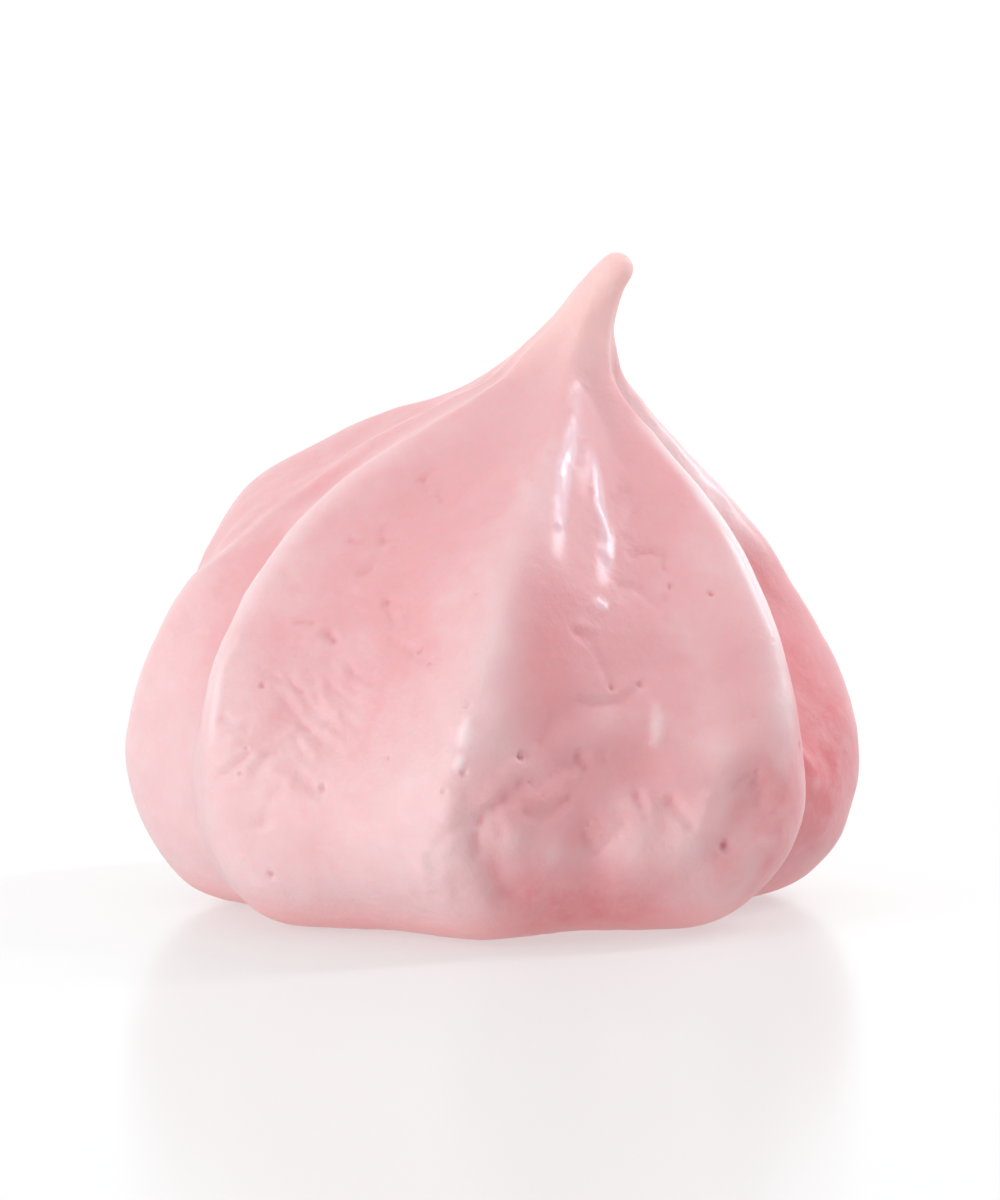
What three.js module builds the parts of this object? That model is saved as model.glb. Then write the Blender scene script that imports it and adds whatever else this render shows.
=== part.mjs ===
// A meringue cookie: one kiss of pink meringue, piped through a star nozzle on to a flat tray,
// drawn up to a soft point that flops over, and baked hard. It is one piece, one solid.
//
// Millimetres, +Z up. It stands on its flat foot, with the origin under the middle of its box.
// The star has eight crests with broad shallow valleys between them. Every level of the kiss is a
// circle that the crests touch, and the crests run from that circle towards a meeting point, which
// drifts right and back with height, because the nozzle was pulled away that way.

import * as THREE from 'three';

const { degToRad, euclideanModulo, lerp, smoothstep } = THREE.MathUtils;

// ---- Driving dimensions -------------------------------------------------------------------

// Levels from the foot to the nub. crest: radius that the crests reach. centre: middle of that
// circle. meet: the point that the crests head for. groove: depth of a valley as a share of the
// radius. soft: how blunt the crests are, 0 for a knife edge. lean: tilt of the level towards +X.
const LEVELS = [
  { height: 0.0, crest: 15.6, centre: [0.0, 0.0], meet: [0.0, 0.0], groove: 0.12, soft: 0.35, lean: 0 },
  { height: 0.5, crest: 17.3, centre: [0.0, 0.0], meet: [0.0, 0.0], groove: 0.11, soft: 0.38, lean: 0 },
  { height: 1.6, crest: 19.0, centre: [0.0, 0.0], meet: [0.0, 0.0], groove: 0.09, soft: 0.42, lean: 0 },
  { height: 4.0, crest: 20.8, centre: [0.0, 0.0], meet: [0.1, 0.2], groove: 0.075, soft: 0.42, lean: 0 },
  { height: 8.4, crest: 21.8, centre: [0.0, 0.0], meet: [0.4, 0.8], groove: 0.095, soft: 0.34, lean: 0 },
  { height: 16.0, crest: 19.4, centre: [0.0, 0.1], meet: [1.6, 3.0], groove: 0.165, soft: 0.19, lean: 0 },
  { height: 22.4, crest: 15.1, centre: [0.0, 1.0], meet: [2.7, 4.0], groove: 0.22, soft: 0.14, lean: 0 },
  { height: 27.0, crest: 9.4, centre: [0.8, 2.6], meet: [4.0, 3.9], groove: 0.245, soft: 0.15, lean: 0 },
  { height: 29.6, crest: 5.0, centre: [2.8, 3.4], meet: [4.3, 3.7], groove: 0.19, soft: 0.2, lean: 0 },
  { height: 32.4, crest: 2.3, centre: [4.75, 3.7], meet: [4.9, 3.7], groove: 0.07, soft: 0.3, lean: 14 },
  { height: 34.4, crest: 1.45, centre: [5.7, 3.7], meet: [5.7, 3.7], groove: 0.01, soft: 0.4, lean: 29 },
  { height: 36.3, crest: 1.05, centre: [7.0, 3.7], meet: [7.0, 3.7], groove: 0, soft: 0.4, lean: 48 },
];

// The eight crests, counterclockwise from +X, each at the foot, belly, shoulder and neck.
// facing: the way it faces, in degrees. reach: its share of the level's crest radius.
// blunt: how blunt it is all the way up, against the level's own.
const STATIONS = [0, 7, 19, 25];
const CRESTS = [
  { facing: [6, 6, 8, 8], reach: [0.985, 0.985, 1.0, 1.0], blunt: 1.0 },
  { facing: [52, 54, 56, 56], reach: [0.98, 0.98, 1.0, 1.0], blunt: 1.0 },
  { facing: [101, 99, 104, 106], reach: [0.975, 0.975, 1.02, 1.0], blunt: 1.2 },
  { facing: [145, 143, 160, 164], reach: [0.985, 0.985, 1.06, 1.07], blunt: 0.9 },
  { facing: [186, 187, 197, 193], reach: [0.98, 0.98, 1.01, 0.87], blunt: 0.7 },
  { facing: [223, 222, 218, 218], reach: [0.985, 0.985, 1.0, 1.0], blunt: 0.6 },
  { facing: [267, 260.5, 264.5, 264.5], reach: [0.985, 0.985, 1.0, 1.0], blunt: 1.4 },
  { facing: [313, 316.5, 318, 318], reach: [1.0, 1.0, 1.01, 1.01], blunt: 0.7 },
];

// The valley after each crest. depth: at the same stations, against the level's own groove.
// fold: 0 for a round hollow between two ridges, 1 for a sharp crease between two round lobes;
// it holds up to the belly and is gone at the shoulder.
const VALLEYS = [
  { depth: [1.3, 1.3, 1.0, 1.0], fold: 0.3 },
  { depth: [1.0, 1.0, 1.05, 1.05], fold: 0.2 },
  { depth: [1.4, 1.4, 0.95, 0.9], fold: 0.3 },
  { depth: [1.2, 1.2, 0.95, 0.5], fold: 0.2 },
  { depth: [1.25, 1.25, 1.1, 0.6], fold: 0.2 },
  { depth: [1.1, 1.1, 1.0, 1.0], fold: 0 },
  { depth: [1.3, 1.5, 1.05, 1.05], fold: 0 },
  { depth: [2.1, 1.9, 1.5, 1.3], fold: 0.8 },
];
const [, BELLY_HEIGHT, SHOULDER_HEIGHT] = STATIONS;
const EVEN_SPACING = 45;

// The hand's unevenness: waves round and up the wall. lobes: how many go round. twist: how far
// they turn with height, in radians a millimetre. start: their turn at the foot, in radians.
const WAVES = [
  { lobes: 3, twist: 0.28, start: 0, depth: 0.16 },
  { lobes: 5, twist: -0.45, start: 1.3, depth: 0.16 },
  { lobes: 11, twist: 0.6, start: 0.5, depth: 0.06 },
];
const WAVES_START = 4;

// Soft marks on the front: what each one raises, or sinks when below zero, at its middle.
const MARKS = {
  thumbDent: { facing: 314, height: 8, halfWidth: 1.7, halfHeight: 2.4, raise: -0.7 },
  footLump: { facing: 274, height: 7, halfWidth: 1.7, halfHeight: 1.6, raise: 0.35 },
  lowLump: { facing: 293, height: 5.5, halfWidth: 4, halfHeight: 2, raise: 0.45 },
  slumpEdge: { facing: 287, height: 13.5, halfWidth: 4, halfHeight: 1.6, raise: 0.3 },
};

// How finely the faces follow the form.
const COLUMNS_PER_CREST = 14;
const HEEL_TOP = 1.6;
const NECK_HEIGHT = 27;
const CRESTS_EVEN_OUT = 33.3;
const HEEL_ROWS = 4;
const WALL_ROWS = 22;
const NECK_ROWS = 14;
const NUB_ROWS = 4;

// The middle of the foot's underside is one star of large faces round this point.
const FOOT_HUB = [2.5, 1.5];
const FOOT_INNER_SHARE = 0.55;

// ---- Levels -------------------------------------------------------------------------------

const TOP = LEVELS[LEVELS.length - 1];
const SPINE_END = TOP.height + (TOP.crest * Math.PI) / 2;

const levelValues = LEVELS.map((level) => [
  level.crest, ...level.centre, ...level.meet, level.groove, level.soft, level.lean,
]);
const levelCurve = new THREE.CubicInterpolant(
  LEVELS.map((level) => level.height),
  levelValues.flat(),
  levelValues[0].length,
);

// Past the top level the spine runs on over the round end of the nub, where the circle closes.
function levelAt(spine) {
  const height = Math.min(spine, TOP.height);
  const values = levelCurve.evaluate(height);
  const [crest, centreX, centreY, meetX, meetY, groove, soft, lean] = values;
  const overEnd = Math.max(0, spine - TOP.height) / TOP.crest;
  return {
    height,
    crest: crest * Math.cos(overEnd),
    centre: new THREE.Vector2(centreX, centreY),
    meet: new THREE.Vector2(meetX, meetY),
    groove: Math.max(0, groove),
    soft,
    lean: degToRad(lean),
    rise: TOP.crest * Math.sin(overEnd),
  };
}

// ---- Crests and valleys -------------------------------------------------------------------

// A value given at the stations, at any height.
function alongStations(values, height) {
  return values.reduce((value, nextValue, station) => {
    const rise = smoothstep(height, STATIONS[station - 1], STATIONS[station]);
    return lerp(value, nextValue, rise);
  });
}

function crestReach(crest, height) {
  const reach = alongStations(crest.reach, height);
  return lerp(reach, 1, smoothstep(height, NECK_HEIGHT, CRESTS_EVEN_OUT));
}

// 0 on a crest and 1 in the middle of the valley.
function valleyProfile(across, soft, fold) {
  const hollow = (Math.hypot(Math.sin(Math.PI * across), soft) - soft) / (Math.hypot(1, soft) - soft);
  const crease = 1 - Math.abs(Math.cos(Math.PI * across));
  return lerp(hollow, crease, fold);
}

// Distance from the meeting point to the level's circle, along a direction.
function reachOfCircle(level, radius, direction) {
  const offset = level.centre.clone().sub(level.meet);
  const along = offset.dot(direction);
  return along + Math.sqrt(Math.max(0, along * along + radius * radius - offset.lengthSq()));
}

// ---- What the hand left -------------------------------------------------------------------

function waveHeight(facing, height) {
  const turn = degToRad(facing);
  const fade = smoothstep(height, 0, WAVES_START) * (1 - height / SPINE_END);
  const sum = WAVES.reduce((total, wave) => {
    const angle = wave.lobes * turn + wave.twist * height + wave.start;
    return total + wave.depth * Math.sin(angle);
  }, 0);
  return sum * fade;
}

function markHeight(facing, height, radius) {
  return Object.values(MARKS).reduce((total, mark) => {
    const sideways = (degToRad(facing - mark.facing) * radius) / mark.halfWidth;
    const upward = (height - mark.height) / mark.halfHeight;
    return total + mark.raise * Math.exp(-(sideways * sideways + upward * upward));
  }, 0);
}

// ---- The surface --------------------------------------------------------------------------

// The point at a share of the way from one crest to the next, at a distance up the spine.
function surfacePoint(crestIndex, across, spine) {
  const level = levelAt(spine);
  const { height } = level;
  const crest = CRESTS[crestIndex];
  const next = CRESTS[(crestIndex + 1) % CRESTS.length];
  const valley = VALLEYS[crestIndex];
  const from = alongStations(crest.facing, height);
  const gap = euclideanModulo(alongStations(next.facing, height) - from, 360);
  const facing = from + gap * across;
  const turn = degToRad(facing);
  const direction = new THREE.Vector2(Math.cos(turn), Math.sin(turn));

  const blend = smoothstep(across, 0, 1);
  const share = lerp(crestReach(crest, height), crestReach(next, height), blend);
  const soft = level.soft * lerp(crest.blunt, next.blunt, blend);
  const fold = valley.fold * (1 - smoothstep(height, BELLY_HEIGHT, SHOULDER_HEIGHT));
  const wide = Math.sqrt(gap / EVEN_SPACING);
  const depth = level.groove * alongStations(valley.depth, height) * wide;
  let reach = reachOfCircle(level, level.crest * share, direction);
  reach *= 1 - depth * valleyProfile(across, soft, fold);
  reach += waveHeight(facing, height) + markHeight(facing, height, reach);

  const fromCentre = direction.multiplyScalar(reach).add(level.meet).sub(level.centre);
  return new THREE.Vector3(
    level.centre.x + fromCentre.x * Math.cos(level.lean) + level.rise * Math.sin(level.lean),
    level.centre.y + fromCentre.y,
    height - fromCentre.x * Math.sin(level.lean) + level.rise * Math.cos(level.lean),
  );
}

// ---- The mesh -----------------------------------------------------------------------------

function evenSteps(from, to, count) {
  return Array.from({ length: count }, (_, step) => from + ((to - from) * step) / count);
}

const spineSteps = [
  ...evenSteps(0, HEEL_TOP, HEEL_ROWS),
  ...evenSteps(HEEL_TOP, NECK_HEIGHT, WALL_ROWS),
  ...evenSteps(NECK_HEIGHT, TOP.height, NECK_ROWS),
  ...evenSteps(TOP.height, SPINE_END, NUB_ROWS),
];
const columns = CRESTS.length * COLUMNS_PER_CREST;

function ringPoints(spine) {
  return Array.from({ length: columns }, (_, column) => {
    const crestIndex = Math.floor(column / COLUMNS_PER_CREST);
    const across = (column % COLUMNS_PER_CREST) / COLUMNS_PER_CREST;
    return surfacePoint(crestIndex, across, spine);
  });
}

function ringCorner(ring, column) {
  return ring * columns + (column % columns);
}

function wallFaces() {
  const faces = [];
  for (let ring = 0; ring < spineSteps.length - 1; ring += 1) {
    for (let column = 0; column < columns; column += 1) {
      const lowLeft = ringCorner(ring, column);
      const lowRight = ringCorner(ring, column + 1);
      const highRight = ringCorner(ring + 1, column + 1);
      const highLeft = ringCorner(ring + 1, column);
      faces.push(lowLeft, lowRight, highRight, lowLeft, highRight, highLeft);
    }
  }
  return faces;
}

function tipFaces(tip) {
  const faces = [];
  const lastRing = spineSteps.length - 1;
  for (let column = 0; column < columns; column += 1) {
    faces.push(ringCorner(lastRing, column), ringCorner(lastRing, column + 1), tip);
  }
  return faces;
}

// One inner corner under each crest, and the hub: the foot is flat, so few faces cover it.
function footFaces(firstInner, hub) {
  const faces = [];
  const half = COLUMNS_PER_CREST / 2;
  for (let crestIndex = 0; crestIndex < CRESTS.length; crestIndex += 1) {
    const inner = firstInner + crestIndex;
    const nextInner = firstInner + ((crestIndex + 1) % CRESTS.length);
    const firstColumn = crestIndex * COLUMNS_PER_CREST;
    for (let step = 0; step < COLUMNS_PER_CREST; step += 1) {
      const near = step < half ? inner : nextInner;
      const column = firstColumn + step;
      faces.push(near, ringCorner(0, column + 1), ringCorner(0, column));
    }
    faces.push(inner, nextInner, ringCorner(0, firstColumn + half));
    faces.push(hub, nextInner, inner);
  }
  return faces;
}

function footInnerPoints(footRing) {
  return CRESTS.map((_, crestIndex) => {
    const rim = footRing[crestIndex * COLUMNS_PER_CREST];
    return rim.clone().multiplyScalar(FOOT_INNER_SHARE);
  });
}

function meringueGeometry() {
  const wall = spineSteps.flatMap(ringPoints);
  const tip = surfacePoint(0, 0, SPINE_END);
  const inner = footInnerPoints(wall);
  const hub = new THREE.Vector3(...FOOT_HUB, 0);
  const firstInner = wall.length + 1;
  const geometry = new THREE.BufferGeometry().setFromPoints([...wall, tip, ...inner, hub]);
  geometry.setIndex([
    ...wallFaces(),
    ...tipFaces(wall.length),
    ...footFaces(firstInner, firstInner + inner.length),
  ]);
  geometry.computeBoundingBox();
  const middle = geometry.boundingBox.getCenter(new THREE.Vector3());
  geometry.translate(-middle.x, -middle.y, 0);
  geometry.computeVertexNormals();
  return geometry;
}

// ---- The cookie ---------------------------------------------------------------------------

const pinkMeringue = new THREE.MeshStandardMaterial({
  color: 0xf3bfc0,
  roughness: 0.5,
  metalness: 0,
});

const meringue = new THREE.Mesh(meringueGeometry(), pinkMeringue);
meringue.name = 'meringue';

const cookie = new THREE.Group();
cookie.add(meringue);

export default cookie;
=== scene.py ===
import math
import random

import bpy
import bmesh
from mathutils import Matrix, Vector
from mathutils.kdtree import KDTree


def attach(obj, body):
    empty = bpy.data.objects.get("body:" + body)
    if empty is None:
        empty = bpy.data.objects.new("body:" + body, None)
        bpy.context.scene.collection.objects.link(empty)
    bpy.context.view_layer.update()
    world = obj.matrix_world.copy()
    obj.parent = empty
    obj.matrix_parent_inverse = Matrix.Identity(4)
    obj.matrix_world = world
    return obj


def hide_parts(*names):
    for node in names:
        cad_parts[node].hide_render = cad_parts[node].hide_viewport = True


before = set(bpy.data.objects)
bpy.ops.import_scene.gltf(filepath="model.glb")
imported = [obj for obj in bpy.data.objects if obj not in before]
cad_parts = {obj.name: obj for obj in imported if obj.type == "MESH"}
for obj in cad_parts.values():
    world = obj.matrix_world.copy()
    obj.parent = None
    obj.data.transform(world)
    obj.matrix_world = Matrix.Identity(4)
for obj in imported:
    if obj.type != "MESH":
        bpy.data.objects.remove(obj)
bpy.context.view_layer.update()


# ---- The kiss: its body ---------------------------------------------------------------------
# One kiss of pink meringue, whipped egg white and sugar, piped through a star nozzle on to a
# flat tray and baked dry. The frame gives its form in flat faces, so a copy of that solid is
# merged, turned to quads and smoothed.
MM = 0.001
MERGE_WITHIN = 0.002 * MM
NEAREST_FLAT = math.radians(70)
ANY_SHAPE = math.radians(180)
HALF_WAY = 0.5
ROUNDS_TO_AVERAGE = 60
ROUNDS_FOR_CRESTS = 8


def only(piece):
    """Selects this piece alone and makes it the active one."""
    bpy.ops.object.select_all(action="DESELECT")
    piece.select_set(True)
    bpy.context.view_layer.objects.active = piece


def copy_of(piece, name):
    only(piece)
    bpy.ops.object.duplicate()
    made = bpy.context.active_object
    made.name = name
    return made


def smooth_once(piece):
    """One level of subdivision surface, applied."""
    only(piece)
    rounder = piece.modifiers.new("rounder", "SUBSURF")
    rounder.levels = 1
    rounder.render_levels = 1
    bpy.ops.object.modifier_apply(modifier=rounder.name)


def note_proudness(piece, name, rounds):
    """Keeps how far each point stands out of the averaged skin, in millimetres, under a name."""
    average = copy_of(piece, "average_skin")
    bpy.ops.object.mode_set(mode="EDIT")
    bpy.ops.mesh.select_all(action="SELECT")
    bpy.ops.mesh.vertices_smooth(factor=HALF_WAY, repeat=rounds)
    bpy.ops.object.mode_set(mode="OBJECT")
    kept_values = piece.data.attributes.new(name, "FLOAT", "POINT").data
    for vertex, level in zip(piece.data.vertices, average.data.vertices):
        kept_values[vertex.index].value = (vertex.co - level.co).dot(vertex.normal) / MM
    bpy.data.objects.remove(average)


skin = copy_of(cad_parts["meringue"], "meringue_skin")
bpy.ops.object.mode_set(mode="EDIT")
bpy.ops.mesh.select_all(action="SELECT")
bpy.ops.mesh.remove_doubles(threshold=MERGE_WITHIN)
bpy.ops.mesh.tris_convert_to_quads(face_threshold=NEAREST_FLAT, shape_threshold=ANY_SHAPE)
bpy.ops.object.mode_set(mode="OBJECT")
note_proudness(skin, "proud", ROUNDS_TO_AVERAGE)
smooth_once(skin)
note_proudness(skin, "crest", ROUNDS_FOR_CRESTS)


# ---- The kiss: what the hand and the oven left ----------------------------------------------
# Soft foam takes every touch. A thumb left an oval dent low on the front right crest, the foot
# sagged into a fold beside the front crest, and the foam between them slumped into low lumps.
FAR_OUT = 60 * MM
SPOTS_APART = 0.15
ROUNDS_FOR_LUMPS = 20

# The foot stays flat on the tray: nothing swells below the first height, in millimetres, and
# all of the skin does above the second.
ON_TRAY = 0.3
CLEAR_OF_TRAY = 4.0
clear_of_tray = skin.vertex_groups.new(name="clear_of_tray")
for vertex in skin.data.vertices:
    lift = (vertex.co.z / MM - ON_TRAY) / (CLEAR_OF_TRAY - ON_TRAY)
    clear_of_tray.add([vertex.index], min(1, max(0, lift)), "REPLACE")


def unsettle(piece, size, depth):
    """Random swells about size millimetres across and depth millimetres from low to high."""
    only(piece)
    cloud = bpy.data.textures.new("swell", "CLOUDS")
    cloud.noise_scale = size * MM
    cloud.noise_depth = 1
    swell = piece.modifiers.new("swell", "DISPLACE")
    swell.texture = cloud
    swell.texture_coords = "LOCAL"
    swell.vertex_group = "clear_of_tray"
    swell.strength = depth * MM
    bpy.ops.object.modifier_apply(modifier=swell.name)


def spot_on(piece, facing, height):
    """The place and outward direction of the skin at one spot. A spot is given by the side it
    faces, in degrees counterclockwise from +X, and its height in millimetres."""
    turn = math.radians(facing)
    outward = Vector((math.cos(turn), math.sin(turn), 0))
    start = outward * FAR_OUT + Vector((0, 0, height * MM))
    hit, place, normal, _ = piece.ray_cast(start, -outward)
    assert hit, f"no skin at {facing} degrees, {height} mm"
    return place, normal


def run_of_spots(piece, line):
    """Evenly spaced spots on the skin along a line of (facing, height) points."""
    spots = [spot_on(piece, *line[0])]
    for start, end in zip(line, line[1:]):
        length = (spot_on(piece, *end)[0] - spot_on(piece, *start)[0]).length / MM
        count = max(1, round(length / SPOTS_APART))
        for i in range(1, count + 1):
            share = i / count
            facing = start[0] + (end[0] - start[0]) * share
            height = start[1] + (end[1] - start[1]) * share
            spots.append(spot_on(piece, facing, height))
    return spots


def press(piece, marks):
    """Draws the skin out or pushes it in, with a soft falloff. A mark is its line, how far out
    it moves, and how far from the line it reaches, both in millimetres."""
    runs = [run_of_spots(piece, line) for line, _, _ in marks]
    only(piece)
    finder = KDTree(len(piece.data.vertices))
    for vertex in piece.data.vertices:
        finder.insert(vertex.co, vertex.index)
    finder.balance()
    bpy.ops.object.mode_set(mode="EDIT")
    bpy.ops.mesh.select_mode(type="VERT")
    for run, (_, outward, reach) in zip(runs, marks):
        bpy.ops.mesh.select_all(action="DESELECT")
        mesh = bmesh.from_edit_mesh(piece.data)
        mesh.verts.ensure_lookup_table()
        for place, _ in run:
            mesh.verts[finder.find(place)[1]].select = True
        bmesh.update_edit_mesh(piece.data)
        direction = sum((normal for _, normal in run), Vector()).normalized()
        bpy.ops.transform.translate(
            value=direction * outward * MM,
            use_proportional_edit=True,
            proportional_edit_falloff="SMOOTH",
            proportional_size=reach * MM,
        )
    bpy.ops.object.mode_set(mode="OBJECT")


unsettle(skin, size=5.0, depth=0.5)
unsettle(skin, size=2.2, depth=0.16)

FOOT_FOLD = [(267.6, 7.1), (268.6, 6.1), (270.4, 4.5), (273.0, 3.1)]
FRONT_CREST_EDGE = [(264.4, 11.4), (263.5, 10.1), (261.4, 8.5)]
SLUMP_LINE = [(281.0, 13.2), (289.0, 13.8), (296.8, 13.9)]
UNDER_THE_SLUMP = [(282.0, 11.8), (290.0, 12.2), (297.0, 12.0)]
THUMB_DENT = [(316.3, 8.4), (313.6, 7.4), (311.0, 6.2)]
press(skin, [
    # a fuller rear left shoulder and left lobe, whose upper crest is lower, and a slimmer neck
    ([(158, 20.5), (162, 18.5), (165, 16.0)], 1.8, 7.5),
    ([(187, 18.0), (187, 14.0), (186, 10.0)], 0.25, 4.5),
    ([(184, 21.2), (180.5, 22.7), (178.5, 24.0), (178, 25.2)], -0.5, 3.0),
    ([(150, 26.8), (140, 28.0), (122, 28.9), (100, 30.3), (70, 31.2)], -0.35, 3.5),
    # the fold in the foot and the edge above it
    (FOOT_FOLD, -0.45, 1.4),
    (FRONT_CREST_EDGE, 0.18, 1.1),
    # the slumped foam: the line that it hangs from, and the lumps and hollows below
    (SLUMP_LINE, -0.2, 1.2),
    (UNDER_THE_SLUMP, 0.12, 1.6),
    ([(279.8, 11.7)], -0.2, 1.5),
    ([(284.0, 9.6), (291.0, 9.4), (299.0, 10.0)], -0.2, 2.2),
    ([(279.4, 5.6)], 0.3, 1.8),
    ([(295.6, 7.0), (296.6, 4.8)], 0.28, 1.9),
    ([(305.8, 7.2), (302.4, 5.0)], 0.3, 1.9),
    ([(275.6, 7.4), (275.2, 6.0)], -0.18, 0.9),
    ([(286.4, 7.4), (288.2, 4.4)], -0.3, 1.8),
    ([(300.4, 7.8), (299.8, 6.6)], -0.18, 0.9),
    # the thumb's dent, the foam that it pushed up about it, and a lump on the right rear lobe
    ([(312.0, 10.8)], 0.25, 2.0),
    (THUMB_DENT, -0.5, 2.3),
    ([(319.4, 9.6), (319.8, 7.4)], 0.2, 1.1),
    ([(347.2, 8.8), (348.0, 7.4)], 0.3, 1.5),
])

smooth_once(skin)
unsettle(skin, size=0.9, depth=0.05)
note_proudness(skin, "lump", ROUNDS_FOR_LUMPS)


# ---- The kiss: fine marks -------------------------------------------------------------------
# Burst bubbles left pits, the skin wrinkled where it dried first, and it tore in a short seam
# where the front crest pulled away from the foot. Syrup dried in two raised lines at the neck,
# shiny with gloss and a painted highlight.
ROUNDS_FOR_RELIEF = 8


def refine(piece, lines, around, cuts):
    """Splits the faces within around millimetres of some lines, so that small marks keep their
    shape."""
    finder = KDTree(len(piece.data.polygons))
    for face in piece.data.polygons:
        finder.insert(face.center, face.index)
    finder.balance()
    near = {
        index
        for line in lines
        for place, _ in run_of_spots(piece, line)
        for _, index, _ in finder.find_range(place, around * MM)
    }
    only(piece)
    bpy.ops.object.mode_set(mode="EDIT")
    bpy.ops.mesh.select_mode(type="FACE")
    bpy.ops.mesh.select_all(action="DESELECT")
    mesh = bmesh.from_edit_mesh(piece.data)
    mesh.faces.ensure_lookup_table()
    for index in near:
        mesh.faces[index].select = True
    bmesh.update_edit_mesh(piece.data)
    bpy.ops.mesh.subdivide(number_cuts=cuts, smoothness=1.0)
    bpy.ops.object.mode_set(mode="OBJECT")


# The thin ridge at the left valley, the two syrup lines, and the shallow trough between them.
LEFT_RIDGE_LINE = [(216.2, 17.0), (216.8, 15.2), (218.7, 13.1), (220.0, 11.3)]
SYRUP_LEFT = [(334.5, 28.6), (318.8, 27.7), (302.4, 26.3), (293.9, 24.8), (289.6, 23.5)]
SYRUP_RIGHT = [(327.7, 26.9), (319.0, 25.3), (311.8, 23.9), (308.0, 22.4), (304.7, 21.5)]
BETWEEN_THE_LINES = [(309.0, 25.4), (302.0, 24.0), (297.0, 22.2), (293.0, 20.6)]

# Every mark below is its line, how far out it moves and its reach, as press takes them. The
# wrinkles lie in and about the left valley.
WRINKLES = [
    ([(222.1, 15.4), (227.1, 14.0), (231.8, 12.7), (236.8, 11.5)], -0.08, 0.42),
    ([(223.4, 15.7), (228.4, 14.4), (233.0, 13.1), (238.0, 11.9)], 0.08, 0.42),
    ([(226.9, 15.0), (231.9, 13.7), (237.0, 12.4)], -0.07, 0.4),
    ([(222.9, 15.9), (225.9, 14.9)], -0.08, 0.45),
    ([(231.6, 15.2), (235.4, 13.8), (240.7, 12.8)], 0.07, 0.45),
    ([(233.2, 15.5), (238.6, 14.2), (243.3, 13.8)], -0.07, 0.45),
    ([(236.1, 15.4), (241.0, 14.7), (246.5, 14.4)], 0.07, 0.45),
    ([(219.9, 8.9), (223.3, 9.8), (225.6, 10.7)], -0.09, 0.5),
    ([(220.6, 11.2), (223.0, 12.0), (224.8, 12.6)], -0.07, 0.45),
    ([(222.4, 9.7), (225.3, 10.6)], -0.06, 0.45),
    ([(227.1, 10.1), (229.1, 10.9)], -0.06, 0.45),
    ([(227.7, 6.6), (230.8, 7.3)], -0.07, 0.5),
    ([(234.5, 9.3), (238.8, 8.7)], -0.08, 0.5),
    ([(220.4, 12.6), (224.2, 12.0)], -0.08, 0.5),
    ([(232.7, 15.5), (240.5, 14.1), (245.8, 13.8)], 0.07, 0.4),
    ([(235.4, 14.6), (240.5, 13.6), (243.8, 13.3)], -0.06, 0.4),
    ([(232.5, 14.5), (237.5, 13.2), (239.9, 12.5)], 0.07, 0.4),
    ([(239.1, 15.3), (244.9, 14.7)], -0.06, 0.4),
    ([(229.6, 19.6), (237.0, 19.1)], -0.07, 0.5),
    ([(216.9, 20.4), (220.7, 19.6)], -0.07, 0.5),
    ([(250.1, 16.9), (255.5, 16.4)], -0.07, 0.45),
    ([(227.0, 9.6), (228.0, 10.7), (230.5, 11.2)], -0.07, 0.5),
    ([(231.3, 9.0), (230.1, 8.1), (228.9, 6.8)], -0.07, 0.5),
    ([(234.3, 9.8), (237.6, 9.0)], -0.1, 0.5),
    ([(229.8, 9.9), (232.4, 9.4)], 0.08, 0.6),
]

# Around those the skin crinkled in finer ones: a fan that falls to the right, strokes that rise
# to the right below it, and long shallow ones higher up. A patch gives how many, the range of
# their facings and heights, the ranges of their runs along and up, of how far out, and a reach.
CRINKLE_PATCHES = [
    (22, (222, 242), (11.5, 16.5), (2.5, 5.5), (-0.6, -1.3), (-0.09, 0.07), 0.4),
    (16, (219, 232), (7, 12), (2, 4), (0.5, 1.2), (-0.09, 0.07), 0.4),
    (20, (224, 254), (17, 25.5), (1.5, 4), (-1.0, 0.6), (-0.14, -0.05), 0.45),
]
chance = random.Random(5)
crinkles = []
for count, facings, heights, along, up, outwards, reach in CRINKLE_PATCHES:
    for _ in range(count):
        facing, height = chance.uniform(*facings), chance.uniform(*heights)
        end = (facing + chance.uniform(*along), height + chance.uniform(*up))
        crinkles.append(([(facing, height), end], chance.uniform(*outwards), reach))

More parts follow.
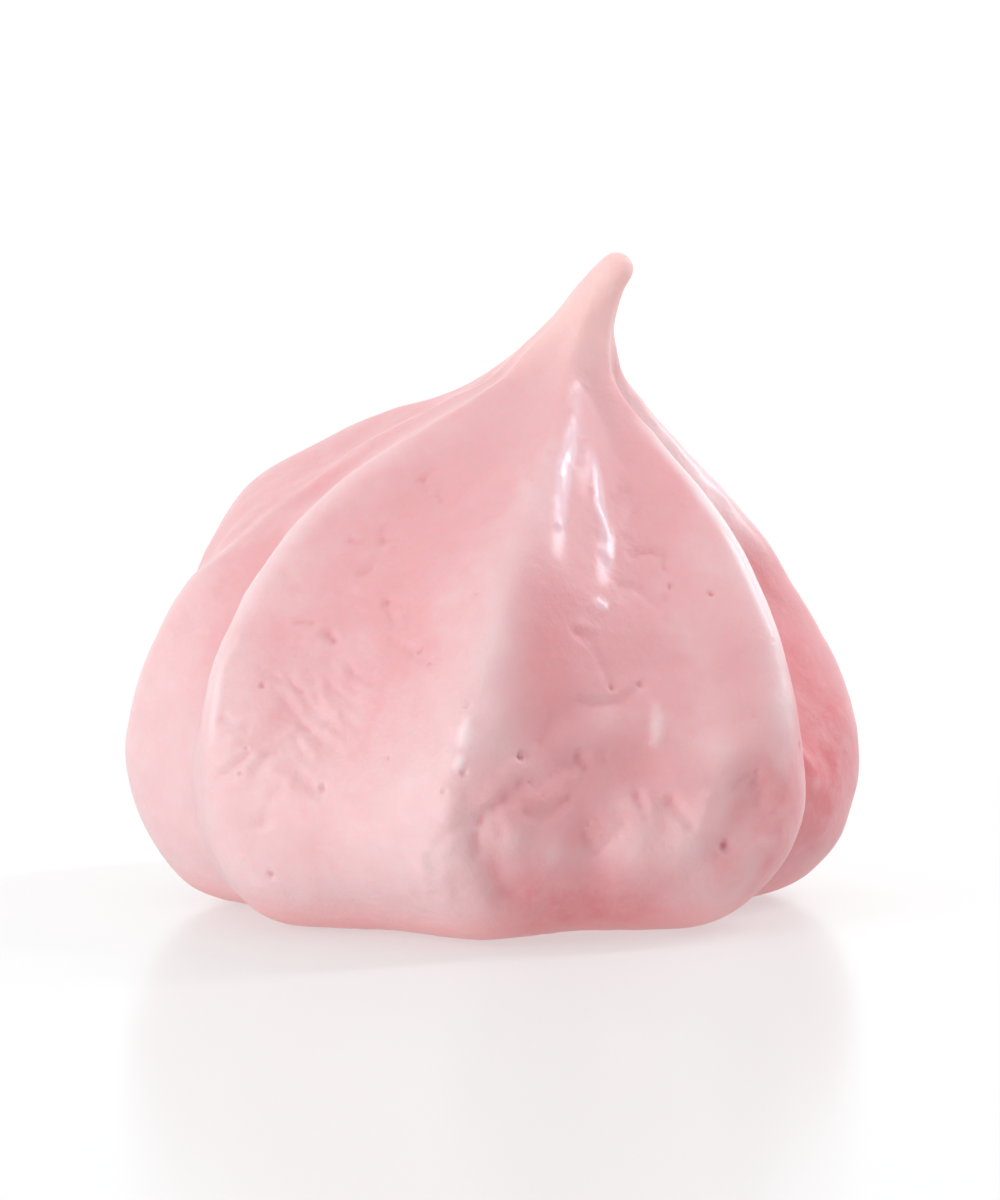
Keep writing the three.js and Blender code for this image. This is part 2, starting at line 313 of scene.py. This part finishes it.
# Tears and crumbs along the seam and the foot, in the slumped foam and round the thumb's dent.
TEARS = [
    ([(261.3, 6.6), (262.6, 7.2), (264.0, 7.5)], -0.08, 0.45),
    ([(263.0, 8.0), (264.2, 9.0)], 0.14, 0.9),
    ([(267.8, 7.9), (268.5, 8.2), (269.6, 8.6)], -0.18, 0.65),
    ([(270.2, 8.0), (270.7, 7.5), (271.2, 7.0)], -0.12, 0.5),
    ([(270.4, 8.5), (271.5, 9.2)], -0.12, 0.6),
    ([(271.9, 9.0), (273.2, 9.2), (273.8, 9.9)], -0.14, 0.55),
    ([(267.0, 7.0), (267.5, 6.0)], -0.12, 0.6),
    ([(312.5, 8.8), (314.6, 9.4), (316.9, 9.5), (317.7, 8.7), (317.3, 7.7)], -0.1, 0.5),
    ([(262.2, 8.1), (263.6, 9.4)], 0.1, 0.7),
    ([(258.0, 5.2), (259.2, 4.0)], 0.12, 0.8),
    ([(261.4, 4.6), (262.0, 3.4)], 0.12, 0.8),
    ([(255.0, 3.6), (256.6, 2.8)], 0.1, 0.8),
    ([(260.0, 5.8), (260.8, 4.9)], -0.1, 0.6),
    ([(268.6, 9.2), (270.6, 9.9)], 0.12, 0.7),
    ([(271.8, 10.4), (273.4, 10.9)], 0.1, 0.6),
    ([(286.2, 6.5), (288.5, 5.6), (290.6, 6.1), (292.9, 7.0)], -0.12, 0.6),
    ([(275.2, 8.2), (278.2, 7.7), (281.0, 8.2), (283.3, 8.7)], -0.14, 0.6),
    ([(275.6, 9.1), (278.6, 8.7), (281.6, 9.1)], 0.08, 0.6),
    ([(276.7, 8.9), (280.6, 9.4), (284.4, 9.8)], 0.08, 0.7),
    ([(280.1, 10.1), (282.0, 10.7), (284.2, 10.4), (286.0, 10.9)], -0.09, 0.6),
    ([(285.8, 10.9), (287.6, 10.3)], -0.13, 0.65),
    ([(290.9, 11.2), (291.3, 10.7)], -0.1, 0.55),
    ([(290.8, 8.2), (292.6, 7.4)], -0.08, 0.65),
    ([(294.6, 8.2), (296.0, 7.6)], 0.1, 0.6),
    ([(298.6, 8.8), (298.0, 7.8)], 0.12, 0.6),
    ([(296.8, 8.6), (297.3, 7.6)], -0.1, 0.55),
    ([(302.0, 8.4), (302.8, 7.8), (304.1, 7.0)], -0.18, 0.65),
    ([(307.7, 8.6), (306.4, 7.7)], 0.12, 0.6),
]

# Cracks and scuffs, most of them on the front right crest.
CRACKS = [
    ([(288.1, 17.6), (292.0, 16.9), (293.6, 15.8), (294.8, 14.7)], -0.09, 0.5),
    ([(286.5, 14.1), (290.5, 13.8), (296.2, 13.8), (301.7, 14.7)], -0.1, 0.5),
    ([(280.1, 13.2), (278.2, 12.1)], -0.08, 0.6),
    ([(289.0, 18.2), (293.8, 17.7)], 0.06, 0.5),
    ([(303.0, 13.4), (301.3, 11.5)], 0.12, 0.5),
    ([(313.6, 21.3), (318.2, 21.5), (321.1, 21.3), (319.5, 20.7)], -0.15, 0.5),
    ([(305.2, 19.9), (309.7, 19.6), (311.6, 18.7), (314.6, 19.1)], -0.1, 0.5),
    ([(318.4, 22.9), (325.5, 23.5)], -0.1, 0.5),
    ([(321.4, 24.3), (329.4, 24.6)], -0.1, 0.55),
    ([(287.5, 17.9), (292.2, 17.4)], -0.08, 0.45),
    ([(314.6, 22.2), (316.6, 22.1)], -0.06, 0.45),
    ([(345.6, 10.0), (347.0, 8.6)], 0.1, 0.7),
    ([(265.5, 13.6), (264.9, 12.5)], 0.14, 0.6),
    ([(264.6, 11.5), (264.3, 11.1)], 0.12, 0.5),
]
SYRUP = [
    (SYRUP_LEFT, 0.12, 0.7),
    (SYRUP_RIGHT, 0.12, 0.7),
    ([(296.6, 19.1), (297.4, 19.0)], 0.1, 0.45),
]

# The largest burst bubbles: facing, height, depth and reach.
BURST_BUBBLES = [
    (274.5, 11.4, 0.35, 0.5),
    (265.2, 10.7, 0.15, 0.35),
    (310.6, 5.6, 0.4, 0.55),
    (316.7, 9.0, 0.12, 0.5),
    (224.0, 14.5, 0.2, 0.35),
    (238.9, 9.1, 0.25, 0.4),
    (229.6, 3.8, 0.2, 0.4),
    (254.0, 16.9, 0.2, 0.4),
    (257.4, 16.4, 0.15, 0.3),
    (295.0, 14.6, 0.12, 0.35),
    (301.3, 14.6, 0.12, 0.35),
    (322.8, 19.3, 0.2, 0.35),
    (317.5, 19.7, 0.2, 0.4),
]
pits = [([(facing, height)], -depth, reach) for facing, height, depth, reach in BURST_BUBBLES]

# Smaller ones burst all over, most of them low down.
SMALL_BUBBLES = 60
chance = random.Random(11)
for _ in range(SMALL_BUBBLES):
    facing = chance.uniform(0, 360)
    height = chance.triangular(2.5, 25, 8)
    reach = chance.triangular(0.16, 0.42, 0.2)
    depth = reach * chance.uniform(0.2, 0.5)
    pits.append(([(facing, height)], -depth, reach))

lines = WRINKLES + crinkles + TEARS + CRACKS + SYRUP + [(LEFT_RIDGE_LINE, 0.1, 0.6)]
refine(skin, [line for line, _, _ in lines], around=0.7, cuts=1)
refine(skin, [line for line, _, _ in pits], around=0.4, cuts=2)
press(skin, lines + pits + [(BETWEEN_THE_LINES, -0.08, 1.0)])

# One round of smoothing takes the hard edges off the marks.
only(skin)
bpy.ops.object.mode_set(mode="EDIT")
bpy.ops.mesh.select_all(action="SELECT")
bpy.ops.mesh.vertices_smooth(factor=HALF_WAY, repeat=1)
bpy.ops.object.mode_set(mode="OBJECT")
note_proudness(skin, "relief", ROUNDS_FOR_RELIEF)


def note_lines(piece, name, lines):
    """Keeps each line's strength under a name. It fades to its ends and out to its reach."""
    finder = KDTree(len(piece.data.vertices))
    for vertex in piece.data.vertices:
        finder.insert(vertex.co, vertex.index)
    finder.balance()
    kept_values = piece.data.attributes.new(name, "FLOAT", "POINT").data
    for line, full, reach in lines:
        spots = run_of_spots(piece, line)
        for i, (place, _) in enumerate(spots):
            here = full * math.sqrt(math.sin(math.pi * (i + 0.5) / len(spots)))
            for _, index, away in finder.find_range(place, reach * MM):
                strength = here * (1 - (away / MM / reach) ** 2) ** 2
                kept_values[index].value = max(kept_values[index].value, strength)


# The syrup lines' gloss, with its painted lilac sheen and painted highlight, fades to both ends
# of each line. Here and below, a row is a line, its strength from 0 to 1, and its reach in
# millimetres.
note_lines(skin, "syrup_gloss_and_painted_sheen", [
    ([(366.8, 30.6), (352.2, 29.5), (334.5, 28.6), (318.8, 27.7)], 0.45, 0.8),
    (SYRUP_LEFT, 1.0, 0.95),
    ([(302.4, 26.3), (293.9, 24.8), (289.6, 23.5), (285.1, 21.6)], 0.6, 0.8),
    ([(332.4, 27.6), (320.2, 26.3), (308.2, 24.9)], 0.35, 1.5),
    (SYRUP_RIGHT, 0.85, 0.75),
    ([(311.8, 23.9), (308.0, 22.4), (304.7, 21.5), (299.9, 20.1)], 0.85, 0.9),
    ([(295.8, 19.2), (297.6, 19.0)], 0.9, 0.7),
])

# Painted highlights, almost white, lie where the foam is thinnest, with a light coat of gloss:
# on the lips of the crests beside the neck, on the left ridge, and on three torn edges.
RIGHT_LIP = [
    (327, 15.5), (330, 18), (333, 20), (336.5, 22),
    (341.5, 24), (347.5, 25.5), (352, 26.6), (359.5, 28.1),
]
RIGHT_LIP_BELOW = [(322.5, 12), (325, 14), (327.5, 16), (330, 18), (333, 20)]
BEHIND_RIGHT_LIP = [(378, 21), (382, 25), (387, 29)]
LEFT_LIP = [(217, 13.4), (213.5, 18), (212, 22), (212.5, 25.5), (213, 27)]
note_lines(skin, "lip_gloss_and_painted_highlight", [
    (RIGHT_LIP, 0.9, 0.9),
    (RIGHT_LIP_BELOW, 0.3, 0.8),
    (BEHIND_RIGHT_LIP, 0.7, 3.5),
    (LEFT_LIP, 0.22, 1.3),
    (LEFT_RIDGE_LINE, 0.35, 0.5),
    ([(265.6, 13.5), (265.1, 12.4)], 0.5, 0.65),
    ([(264.8, 11.6), (264.3, 11.0)], 0.5, 0.5),
    ([(303.0, 13.4), (301.3, 11.5)], 0.4, 0.7),
])

# Painted shade, a deeper rose: on the right rear lobe, low on the front right round the seam and
# the lumps, in a streak to the right of the front crest, on both sides of the right lip, in the
# fold and in the thumb's dent.
note_lines(skin, "painted_shade_patches", [
    ([(350, 2), (351, 8), (355, 13), (366, 19)], 0.8, 10.0),
    ([(272, 4.5), (278, 3.0), (286, 2.4), (294, 2.2), (304, 2.6)], 0.7, 5.0),
    ([(266.5, 9.5), (272, 9.0), (279, 8.3), (287, 8.6)], 0.4, 3.8),
    ([(293, 10.5), (302, 10.0), (310, 8.0)], 0.25, 3.6),
    ([(281.5, 7.4), (284.0, 6.2), (289.5, 7.4)], 0.4, 2.2),
    ([(310, 6.2), (312, 4.5), (312, 3.0)], 0.5, 3.0),
    ([(324.9, 19.6), (320.5, 16.2), (317.5, 12.8), (313.5, 9.8)], 0.3, 2.9),
    ([(283, 22), (281, 19), (280, 16), (279, 13), (279, 10.5)], 0.45, 4.5),
    ([(323, 2.5), (321, 6), (320, 11)], 0.65, 5.5),
    ([(331, 8), (330, 12), (330, 15)], 0.6, 3.6),
    (FOOT_FOLD, 0.35, 2.2),
    (THUMB_DENT, 0.55, 1.8),
])

# Painted light, paler: on the left lobe, in the left valley and left of the right lip.
note_lines(skin, "painted_light_patches", [
    ([(196, 5), (197, 12), (199, 19)], 0.9, 9.0),
    ([(234, 18), (238, 15), (240, 11)], 0.7, 5.5),
    ([(327, 22), (321, 19), (316, 15)], 0.6, 4.5),
])

for polygon in skin.data.polygons:
    polygon.use_smooth = True


# ---- The kiss: how its skin is coloured -----------------------------------------------------
# The pink is in the foam. What stands proud is painted paler, as painted light, and the valleys,
# the upper flanks and the foot a deeper rose, as painted shade; tiny bubbles give the skin its
# matt, faintly silky grain.
class Wire:
    """One value or colour on its way through a material. Sums and products add Math nodes."""

    def __init__(self, tree, socket=None):
        self.tree = tree
        self.socket = socket

    def node(self, kind, settings=None, inputs=None, output=0):
        """Adds any node: its settings are set first, then the values or links of its sockets."""
        made = self.tree.nodes.new(kind)
        for name, value in (settings or {}).items():
            setattr(made, name, value)
        for name, value in (inputs or {}).items():
            if isinstance(value, Wire):
                self.tree.links.new(value.socket, made.inputs[name])
            else:
                made.inputs[name].default_value = value
        return Wire(self.tree, made.outputs[output])

    def maths(self, operation, *values):
        """Adds one Math node on some values or wires."""
        return self.node("ShaderNodeMath", {"operation": operation}, dict(enumerate(values)))

    def __add__(self, other):
        return self.maths("ADD", self, other)

    __radd__ = __add__

    def __sub__(self, other):
        return self.maths("SUBTRACT", self, other)

    def __rsub__(self, other):
        return self.maths("SUBTRACT", other, self)

    def __mul__(self, other):
        return self.maths("MULTIPLY", self, other)

    __rmul__ = __mul__

    def between(self, low, high):
        """0 at low and 1 at high, with a soft step between."""
        return self.node(
            "ShaderNodeMapRange",
            {"interpolation_type": "SMOOTHSTEP"},
            {"Value": self, "From Min": low, "From Max": high},
        )

    def colours(self, none, full):
        """From one colour where the value is 0 to another where it is 1."""
        return self.node(
            "ShaderNodeMix", {"data_type": "RGBA"}, {0: self, 6: none, 7: full}, output=2
        )

    def into(self, shader, name):
        """Joins this wire to a shader's input."""
        self.tree.links.new(self.socket, shader.inputs[name])


def set_inputs(shader, values):
    """Sets a shader's fixed values by name."""
    for name, value in values.items():
        shader.inputs[name].default_value = value


pink = bpy.data.materials.new("pink_meringue")
pink.use_nodes = True
foam = pink.node_tree.nodes["Principled BSDF"]
skin_wire = Wire(pink.node_tree)
position = skin_wire.node("ShaderNodeTexCoord", output=3)
height_up = skin_wire.node("ShaderNodeSeparateXYZ", inputs={"Vector": position}, output=2)
height_up = height_up * (1 / MM)


def kept(name):
    """A value kept on the skin under this name."""
    return skin_wire.node("ShaderNodeAttribute", {"attribute_name": name}, output=2)


def grain(size, detail=2.0, roughness=0.5):
    """Noise whose lumps are about size millimetres across, about 0.5 and mostly 0.3 to 0.7."""
    scale = 1 / (size * MM)
    return skin_wire.node(
        "ShaderNodeTexNoise",
        inputs={"Vector": position, "Scale": scale, "Detail": detail, "Roughness": roughness},
    )


# The pink in painted shade, then the pink in painted light.
ROSE = (0.78, 0.40, 0.42, 1)
BLUSH = (0.80, 0.53, 0.55, 1)
# Painted light.
PAINTED_LIGHT_PINK = (0.86, 0.69, 0.70, 1)
# Painted shade.
PAINTED_SHADE_RED = (0.72, 0.17, 0.19, 1)
# Painted shade at the foot, a warm red.
PAINTED_SHADE_FOOT = (1.0, 0.40, 0.40, 1)
# Painted light at the thin point.
PAINTED_LIGHT_PEACH = (0.94, 0.66, 0.63, 1)
# A painted highlight.
PAINTED_HIGHLIGHT_WHITE = (0.96, 0.90, 0.92, 1)
# A painted sheen.
PAINTED_SHEEN_LILAC = (0.86, 0.62, 0.70, 1)

relief = kept("relief")
crest = kept("crest")
syrup_gloss_and_painted_sheen = kept("syrup_gloss_and_painted_sheen")
lip_gloss_and_painted_highlight = kept("lip_gloss_and_painted_highlight")
clouds = grain(4.0, detail=1.0) + grain(1.2, detail=3.0, roughness=0.6) - 1.0

# This sum says how pale a place is painted. It rises, as painted light, with each millimetre
# that a crest, a lump or a fine mark stands out, shifts with the clouds of uneven mixing, falls,
# as painted shade, on the upper flanks, and rises in the patches of painted light.
CREST_PAINTED_LIGHTER = 0.75
LUMP_PAINTED_LIGHTER = 1.2
MARK_PAINTED_LIGHTER = 4
CLOUD_PALER = 1.6
PALER_ALL_OVER = 0.45
PAINTED_SHADE_HIGH_UP = 0.85
painted_light_and_mottle = kept("proud") * CREST_PAINTED_LIGHTER + kept("lump") * LUMP_PAINTED_LIGHTER + relief * MARK_PAINTED_LIGHTER
painted_light_and_mottle = painted_light_and_mottle + clouds * CLOUD_PALER + PALER_ALL_OVER
painted_light_and_mottle = painted_light_and_mottle - height_up.between(8, 20) * PAINTED_SHADE_HIGH_UP + kept("painted_light_patches")

# Each layer covers those before it: where it lies, how strongly, and its colour.
colour_layers = [
    # painted light on what stands proud, and on all of the kiss towards the neck
    (painted_light_and_mottle.between(1.7, 3.0), 0.3, PAINTED_LIGHT_PINK),
    (height_up.between(24, 30), 0.2, PAINTED_LIGHT_PINK),
    # painted shade on the foot and in the noted patches, and painted light on the thin peach
    # point
    (1 - height_up.between(0.0, 3.0), 0.6, PAINTED_SHADE_FOOT),
    (kept("painted_shade_patches"), clouds + 0.9, PAINTED_SHADE_RED),
    (height_up.between(29, 34), 0.7, PAINTED_LIGHT_PEACH),
    # painted shade in the bottoms of fine marks, and painted light on their raised edges
    (relief.between(-0.01, -0.1), 0.5, PAINTED_SHADE_RED),
    (relief.between(0.03, 0.09), 0.3, PAINTED_LIGHT_PINK),
    # painted highlights on sharp crests and thin lips
    (crest.between(0.1, 0.24), 0.1, PAINTED_HIGHLIGHT_WHITE),
    (lip_gloss_and_painted_highlight, 0.8, PAINTED_HIGHLIGHT_WHITE),
    # a painted lilac sheen on the syrup lines, and a painted highlight in their middle
    (syrup_gloss_and_painted_sheen.between(0.1, 0.7), 0.6, PAINTED_SHEEN_LILAC),
    (syrup_gloss_and_painted_sheen.between(0.84, 0.98), 0.5, PAINTED_HIGHLIGHT_WHITE),
]
# From the pink in painted shade to the pink in painted light, as the sum above says, moved also
# by the clouds of uneven mixing.
colour = painted_light_and_mottle.between(-0.4, 2.0).colours(ROSE, BLUSH)
for where, strength, layer in colour_layers:
    colour = (where * strength).colours(colour, layer)
colour.into(foam, "Base Color")

# The skin is matt with a slight unevenness, and shines on the syrup and the thin lips.
roughness = 0.45 + (grain(0.8) - 0.5) * 0.12
roughness.into(foam, "Roughness")
coat = syrup_gloss_and_painted_sheen * 0.7 + lip_gloss_and_painted_highlight * 0.5
coat.into(foam, "Coat Weight")

# Its grain, in millimetres: tiny bubbles and shallow dimples.
TINY_BUBBLES_DEEP = 0.018
DIMPLES_DEEP = 0.075
tiny_bubbles = grain(0.22, roughness=0.6)
dimples = grain(0.9)
bump = skin_wire.node("ShaderNodeBump", inputs={
    "Strength": 1.0,
    "Distance": 1 * MM,
    "Height": tiny_bubbles * TINY_BUBBLES_DEEP + dimples * DIMPLES_DEEP,
})
bump.into(foam, "Normal")

set_inputs(foam, {
    "IOR": 1.45,
    "Specular IOR Level": 0.25,
    "Coat Roughness": 0.18,
    "Subsurface Weight": 0.5,
    "Subsurface Radius": (1.0, 0.35, 0.3),
    "Subsurface Scale": 1.1 * MM,
})

skin.data.materials.clear()
skin.data.materials.append(pink)
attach(skin, "root")
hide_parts("meringue")


# ---- The table ------------------------------------------------------------------------------
# A wide sheet of white acrylic with a faint gloss. It is lit softly through from below, as for
# small goods.
TABLE_WIDTH = 8.0

bpy.ops.object.select_all(action="DESELECT")
bpy.ops.mesh.primitive_plane_add(size=TABLE_WIDTH, location=(0, 0, 0))
table = bpy.context.active_object
table.name = "white_table"
acrylic = bpy.data.materials.new("white_acrylic")
acrylic.use_nodes = True
set_inputs(acrylic.node_tree.nodes["Principled BSDF"], {
    "Base Color": (0.35, 0.35, 0.35, 1),
    "Roughness": 0.2,
    "IOR": 1.08,
    "Emission Color": (1, 1, 1, 1),
    "Emission Strength": 0.46,
})
table.data.materials.append(acrylic)


# ---- The light ------------------------------------------------------------------------------
# Softboxes at the left, above and in front, a tall strip behind at the right, a lit back wall,
# and white walls all round.
WHITE = (1, 1, 1)
MIDDLE_OF_KISS = (0, 0, 0.018)
BACK_WALL = (0.0, 0.90, 0.35)
LEVEL_WITH_BACK_WALL = (0, 0, 0.35)


def softbox(name, place, size, power, colour=WHITE, aim=MIDDLE_OF_KISS):
    """A lit panel at a place, in metres, turned to its aim, with its width, height and watts."""
    lamp = bpy.data.lights.new(name, "AREA")
    lamp.shape = "RECTANGLE"
    lamp.size, lamp.size_y = size
    lamp.energy = power
    lamp.color = colour
    holder = bpy.data.objects.new(name, lamp)
    bpy.context.scene.collection.objects.link(holder)
    holder.location = place
    holder.rotation_euler = (Vector(aim) - Vector(place)).to_track_quat("-Z", "Y").to_euler()


softbox("left_softbox", (-0.41, -0.32, 0.17), (0.30, 0.30), 1.5, (0.95, 0.99, 0.98))
softbox("top_softbox", (0.0, 0.0, 1.20), (1.6, 1.6), 3.7)
softbox("front_softbox", (-0.10, -0.80, 0.22), (0.9, 0.4), 0.65)
softbox("right_strip", (0.31, 0.14, 0.28), (0.06, 0.28), 0.8, (0.95, 0.96, 1.0))
softbox("back_wall", BACK_WALL, (2.4, 0.7), 5.3, aim=LEVEL_WITH_BACK_WALL)

walls = bpy.data.worlds.new("white_walls")
bpy.context.scene.world = walls
walls.use_nodes = True
set_inputs(walls.node_tree.nodes["Background"], {"Color": (1, 1, 1, 1), "Strength": 0.5})
bpy.context.scene.view_settings.view_transform = "Standard"


# ---- The camera -----------------------------------------------------------------------------
# A long lens, a little above the table, square on to the front.
LOOKS_DOWN = math.radians(8.5)
DISTANCE = 0.9
FRAME_WIDTH = 58 * MM
AIM = Vector((0.3 * MM, 0, 17.5 * MM))
SENSOR_WIDTH = 36.0
WIDTH_TO_HEIGHT = 1000 / 1200
NEAREST_SEEN = 0.05

lens = bpy.data.cameras.new("camera")
lens.sensor_width = SENSOR_WIDTH
lens.lens = DISTANCE * SENSOR_WIDTH * WIDTH_TO_HEIGHT / FRAME_WIDTH
lens.clip_start = NEAREST_SEEN
camera = bpy.data.objects.new("camera", lens)
bpy.context.scene.collection.objects.link(camera)
towards = Vector((0, math.cos(LOOKS_DOWN), -math.sin(LOOKS_DOWN)))
camera.location = AIM - towards * DISTANCE
camera.rotation_euler = towards.to_track_quat("-Z", "Y").to_euler()
bpy.context.scene.camera = camera
